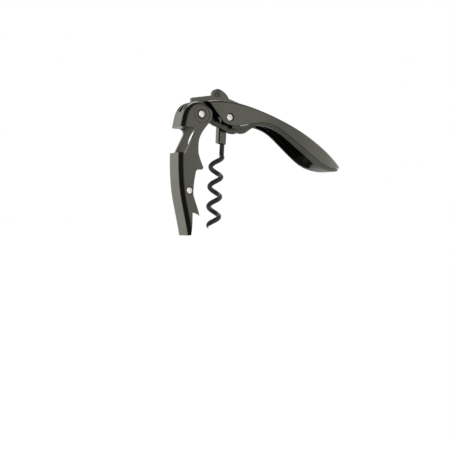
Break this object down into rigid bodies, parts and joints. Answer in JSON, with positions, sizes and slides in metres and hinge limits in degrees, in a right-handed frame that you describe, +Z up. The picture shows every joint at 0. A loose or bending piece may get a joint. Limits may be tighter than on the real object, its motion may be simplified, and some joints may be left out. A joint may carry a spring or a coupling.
{
  "type": "folding waiter's corkscrew",
  "caption": "Folding waiter's corkscrew: hollow leaf-shaped handle with a stepped, hinged bottle lever, cap lifter, helical worm and serrated foil blade.",
  "frame": {"origin": "centre of the main pivot, where the lever and the foil blade hinge on the handle", "axes": "+X along the handle from the pivot to its tail, +Y across the tool, +Z up, away from the bottle; the lever hangs along -Z"},
  "size_m": [0.1099, 0.0158, 0.0782],
  "materials": {
    "handle_metal": "satin, dark gunmetal",
    "frame_metal": "satin, dark gunmetal",
    "lever_metal": "satin, dark gunmetal",
    "blade_steel": "satin",
    "bracket_metal": "satin",
    "worm_coating": "low-friction coating, semi-matte",
    "rivet_steel": "polished",
    "liner_steel": "satin",
    "spring_steel": "satin"
  },
  "bodies": {
    "handle": {"upper_shell": "handle_metal", "lower_frame": "frame_metal", "frame_dowels": "rivet_steel", "liner_near": "liner_steel", "liner_far": "liner_steel", "pivot_washer_near": "liner_steel", "pivot_washer_far": "liner_steel", "main_rivet": "rivet_steel", "worm_rivet": "rivet_steel", "back_spring": "spring_steel", "spring_pin": "rivet_steel"},
    "lever": {"lever_channel": "lever_metal", "rivet_ring_near": "rivet_steel", "rivet_ring_far": "rivet_steel", "claw_rivet": "rivet_steel", "claw_spring": "spring_steel"},
    "claw": {"step_claw": "lever_metal"},
    "worm": {"worm": "worm_coating", "worm_bracket": "bracket_metal"},
    "blade": {"foil_blade": "blade_steel"}
  },
  "joints": [
    {"name": "lever_hinge", "type": "hinge", "parent": "handle", "child": "lever", "pos_m": [0, 0, 0], "axis": [0, -1, 0], "range_deg": [-18, 73]},
    {"name": "worm_hinge", "type": "hinge", "parent": "handle", "child": "worm", "pos_m": [0.0173, 0, -0.0006], "axis": [0, -1, 0], "range_deg": [-20.4, 82.8]},
    {"name": "blade_hinge", "type": "hinge", "parent": "handle", "child": "blade", "pos_m": [0, 0, 0], "axis": [0, -1, 0], "range_deg": [0, 65]},
    {"name": "claw_hinge", "type": "hinge", "parent": "lever", "child": "claw", "pos_m": [-0.00735, 0, -0.04], "axis": [0, -1, 0], "range_deg": [-17, 0], "stiffness_Nm_per_rad": 0.02, "springref_deg": 17.19}
  ],
  "couplings": [
    {"joint": "worm_hinge", "follows": "lever_hinge", "ratio": 1.1329}
  ]
}
